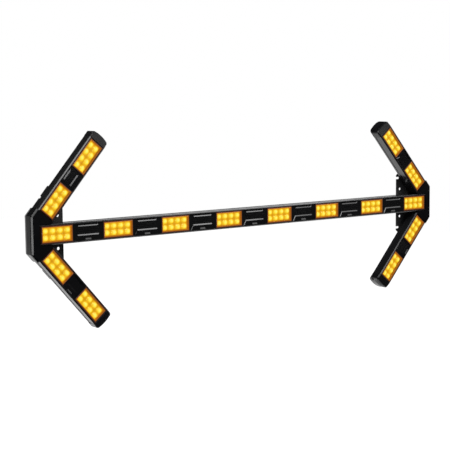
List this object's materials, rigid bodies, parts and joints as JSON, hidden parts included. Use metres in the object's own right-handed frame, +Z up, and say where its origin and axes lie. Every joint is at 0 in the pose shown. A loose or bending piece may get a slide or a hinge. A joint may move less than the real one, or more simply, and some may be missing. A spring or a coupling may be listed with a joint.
{
  "type": "vehicle LED arrow bar",
  "caption": "Double-headed LED arrow bar: a straight light bar with a two-armed arrowhead at each end, amber lamps on the front and slotted mounting plates behind.",
  "frame": {"origin": "centre of the four-hole mounting pattern, on the plane of the two mounting plates' rear faces", "axes": "+X along the bar to the right as seen from the front, +Y out of the back towards the vehicle, +Z up; the lamps face -Y"},
  "size_m": [1.3728, 0.0432, 0.5064],
  "materials": {
    "anodised_housing": "satin black anodised extrusion",
    "lamp_lens": "clear glossy polycarbonate",
    "lamp_optic": "amber lit acrylic optic",
    "led_board": "white solder mask",
    "lamp_housing": "moulded black polycarbonate",
    "blank_plastic": "satin black moulded plastic",
    "cap_plastic": "satin black moulded plastic",
    "nose_plastic": "satin black moulded plastic",
    "plate_steel": "black powder coat",
    "fastener_steel": "black zinc",
    "zinc_steel": "zinc plated",
    "brass_standoff": "turned",
    "seal_rubber": "matte silicone",
    "cable_sheath": "matte sheath",
    "control_board": "green solder mask",
    "inlet_plastic": "moulded nylon"
  },
  "bodies": {
    "root": {"arm_lamp_optics": "lamp_optic", "arm_led_boards": "led_board", "arm_module_housings": "lamp_housing", "bar_blank_cover_1": "blank_plastic", "bar_blank_cover_2": "blank_plastic", "bar_blank_cover_3": "blank_plastic", "bar_blank_cover_4": "blank_plastic", "bar_blank_cover_5": "blank_plastic", "bar_blank_cover_6": "blank_plastic", "bar_blank_cover_7": "blank_plastic", "bar_extrusion": "anodised_housing", "bar_lamp_optics": "lamp_optic", "bar_led_boards": "led_board", "bar_lens_1": "lamp_lens", "bar_lens_2": "lamp_lens", "bar_lens_3": "lamp_lens", "bar_lens_4": "lamp_lens", "bar_lens_5": "lamp_lens", "bar_lens_6": "lamp_lens", "bar_lens_7": "lamp_lens", "bar_lens_8": "lamp_lens", "bar_module_housings": "lamp_housing", "board_screws": "fastener_steel", "board_standoffs": "brass_standoff", "control_board": "control_board", "end_cap_gaskets": "seal_rubber", "end_cap_screws": "fastener_steel", "inlet_nut": "inlet_plastic", "left_mounting_plate": "plate_steel", "left_nose_body": "nose_plastic", "left_nose_cover": "nose_plastic", "lens_gaskets": "seal_rubber", "lower_left_arm_extrusion": "anodised_housing", "lower_left_blank_cover": "blank_plastic", "lower_left_end_cap": "cap_plastic", "lower_left_inner_lens": "lamp_lens", "lower_left_outer_lens": "lamp_lens", "lower_right_arm_extrusion": "anodised_housing", "lower_right_blank_cover": "blank_plastic", "lower_right_end_cap": "cap_plastic", "lower_right_inner_lens": "lamp_lens", "lower_right_outer_lens": "lamp_lens", "nose_screws": "fastener_steel", "plate_bolts": "fastener_steel", "power_inlet": "inlet_plastic", "right_mounting_plate": "plate_steel", "right_nose_body": "nose_plastic", "right_nose_cover": "nose_plastic", "slide_nuts": "zinc_steel", "upper_left_arm_extrusion": "anodised_housing", "upper_left_blank_cover": "blank_plastic", "upper_left_end_cap": "cap_plastic", "upper_left_inner_lens": "lamp_lens", "upper_left_outer_lens": "lamp_lens", "upper_right_arm_extrusion": "anodised_housing", "upper_right_blank_cover": "blank_plastic", "upper_right_end_cap": "cap_plastic", "upper_right_inner_lens": "lamp_lens", "upper_right_outer_lens": "lamp_lens", "wiring_looms": "cable_sheath"}
  },
  "joints": []
}
